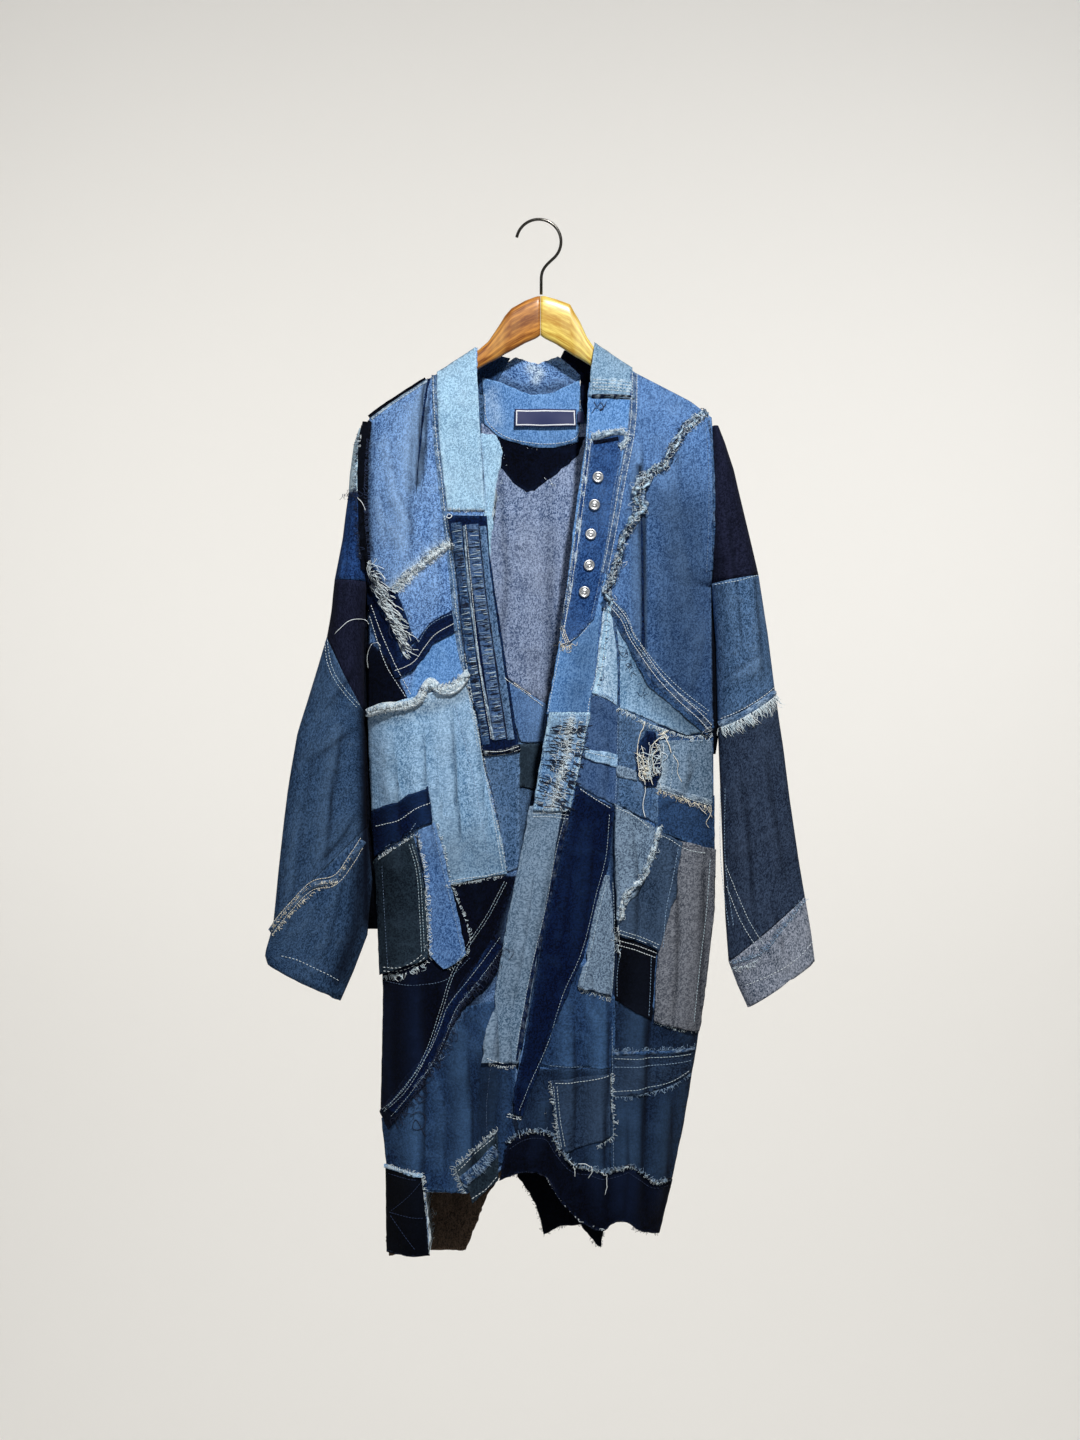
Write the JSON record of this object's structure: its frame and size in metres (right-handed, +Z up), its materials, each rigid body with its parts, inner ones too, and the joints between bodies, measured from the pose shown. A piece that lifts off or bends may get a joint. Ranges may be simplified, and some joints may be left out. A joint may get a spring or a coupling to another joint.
{
  "type": "patched boro jacket on a wooden hanger",
  "caption": "Long open patched denim coat with frayed edges, wide sleeves and a ragged hem, hanging on a wooden hanger by its wire hook.",
  "frame": {"origin": "inner top of the hanger's hook, where it rests on a rail or peg", "axes": "+Z up, -Y out of the coat's front, +X to the right of someone who faces the front"},
  "size_m": [0.6602, 0.0965, 1.2395],
  "materials": {
    "denim_light": "washed pale blue denim, matt, crumpled",
    "denim_mid": "heathered mid-blue denim, matt",
    "denim_dark": "dark indigo denim, worn at its edges",
    "denim_navy": "deep navy denim with white top-stitching",
    "denim_grey": "grey-blue denim, rubbed and mottled",
    "denim_black": "near-black twill",
    "wood_red": "reddish hardwood, satin varnish",
    "wood_honey": "honey-coloured hardwood, satin varnish",
    "steel": "dark polished steel wire",
    "zinc": "pressed zinc button, satin",
    "woven_label": "navy woven tape with a pale border, no lettering"
  },
  "bodies": {
    "root": {"hook": "steel", "hanger_arm_left": "wood_red", "hanger_arm_right": "wood_honey", "front_left": "denim_mid", "front_right": "denim_mid", "back_upper": "denim_mid", "back_middle": "denim_dark", "back_lower": "denim_mid", "back_hem_left": "denim_black", "back_hem_flap": "denim_black", "neck_facing": "denim_light", "label": "woven_label", "neck_stand": "denim_mid", "band_left_upper": "denim_light", "band_left_waistband": "denim_dark", "band_left_lower": "denim_dark", "band_right_top": "denim_light", "band_right_mid": "denim_mid", "band_right_smocked": "denim_light", "band_right_grey": "denim_grey", "strip_navy_right": "denim_navy", "fly_placket": "denim_navy", "curved_strip_left": "denim_navy", "patch_bright_left": "denim_mid", "panel_light_left": "denim_light", "strip_slant_left": "denim_navy", "pocket_left": "denim_dark", "strip_blue_left": "denim_mid", "panel_dark_left": "denim_navy", "felled_band_left": "denim_dark", "panel_lower_left": "denim_mid", "waistband_hem_left": "denim_dark", "corner_patch_left": "denim_black", "curved_strip_right": "denim_dark", "gusset_right": "denim_light", "patch_ripped_right": "denim_grey", "pocket_right": "denim_dark", "patch_grey_right": "denim_grey", "pocket_black_right": "denim_black", "patch_triangle_right": "denim_light", "patch_mottled_right": "denim_dark", "band_mottled_right": "denim_dark", "hem_right": "denim_navy", "back_patch_light": "denim_light", "back_pocket": "denim_dark", "sleeve_left_cap": "denim_light", "sleeve_left_upper": "denim_dark", "sleeve_left_navy": "denim_navy", "sleeve_left_lower": "denim_mid", "sleeve_left_cuff": "denim_mid", "sleeve_right_top": "denim_navy", "sleeve_right_mid": "denim_mid", "sleeve_right_slub": "denim_dark", "sleeve_right_cuff": "denim_grey", "button_1": "zinc", "button_2": "zinc", "button_3": "zinc", "button_4": "zinc", "button_5": "zinc"}
  },
  "joints": []
}
